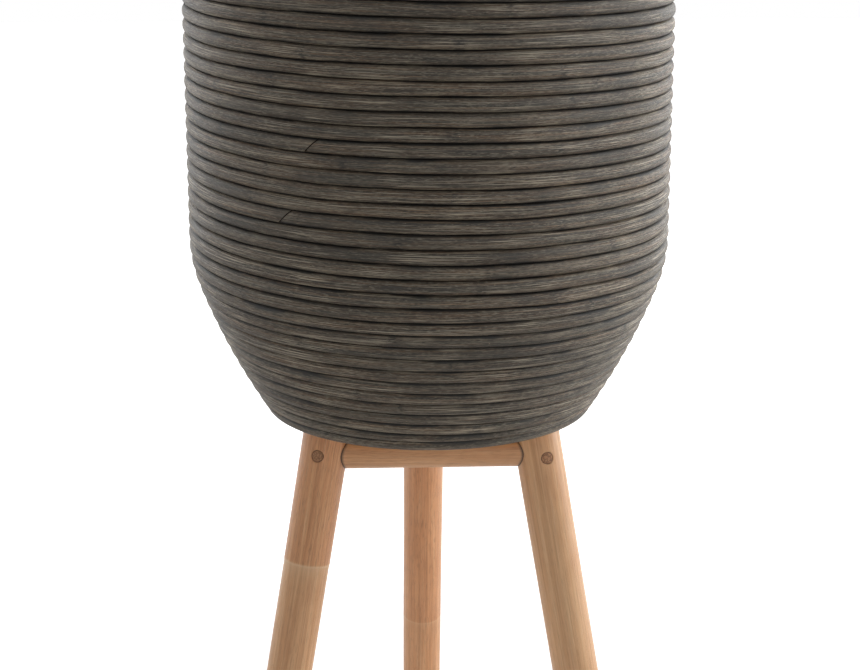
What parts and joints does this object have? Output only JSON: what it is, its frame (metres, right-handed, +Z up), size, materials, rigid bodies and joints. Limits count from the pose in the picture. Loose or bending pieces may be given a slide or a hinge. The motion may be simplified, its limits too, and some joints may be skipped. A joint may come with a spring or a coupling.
{
  "type": "standing planter",
  "caption": "Round planter wound from grey-brown rattan poles on a stand of splayed cane legs, with a lift-out inner pot.",
  "frame": {"origin": "centre of the footprint on the floor, on the pot's axis", "axes": "+Z up along the pot's axis, -Y towards the side between the two front legs, +X to the right seen from there"},
  "size_m": [0.39, 0.3901, 0.765],
  "materials": {
    "washed_pole": "grey-brown washed rattan, matt",
    "split_cane": "split rattan, matt",
    "peeled_cane": "peeled thick cane, satin",
    "plug": "end grain, matt",
    "board": "plywood, matt",
    "steel": "zinc plated",
    "liner": "moulded, fine texture"
  },
  "bodies": {
    "planter": {"leg_left": "peeled_cane", "leg_right": "peeled_cane", "leg_rear": "peeled_cane", "rail_front": "peeled_cane", "rail_right": "peeled_cane", "rail_left": "peeled_cane", "rail_screws": "steel", "rail_plugs": "plug", "base_board": "board", "base_screws": "steel", "base_hoop": "washed_pole", "rim_hoop": "washed_pole", "pole_a1": "washed_pole", "pole_a2": "washed_pole", "pole_a3": "washed_pole", "pole_a4": "washed_pole", "pole_a5": "washed_pole", "pole_a6": "washed_pole", "pole_a7": "washed_pole", "pole_b1": "washed_pole", "pole_b2": "washed_pole", "pole_b3": "washed_pole", "pole_b4": "washed_pole", "pole_b5": "washed_pole", "pole_b6": "washed_pole", "rib_1": "split_cane", "rib_2": "split_cane", "rib_3": "split_cane", "rib_4": "split_cane", "rib_5": "split_cane", "rib_6": "split_cane"},
    "inner_pot": {"liner": "liner"}
  },
  "joints": [
    {"name": "liner_lift", "type": "slide", "parent": "planter", "child": "inner_pot", "axis": [0, 0, 1], "range_m": [0, 0.45]}
  ]
}
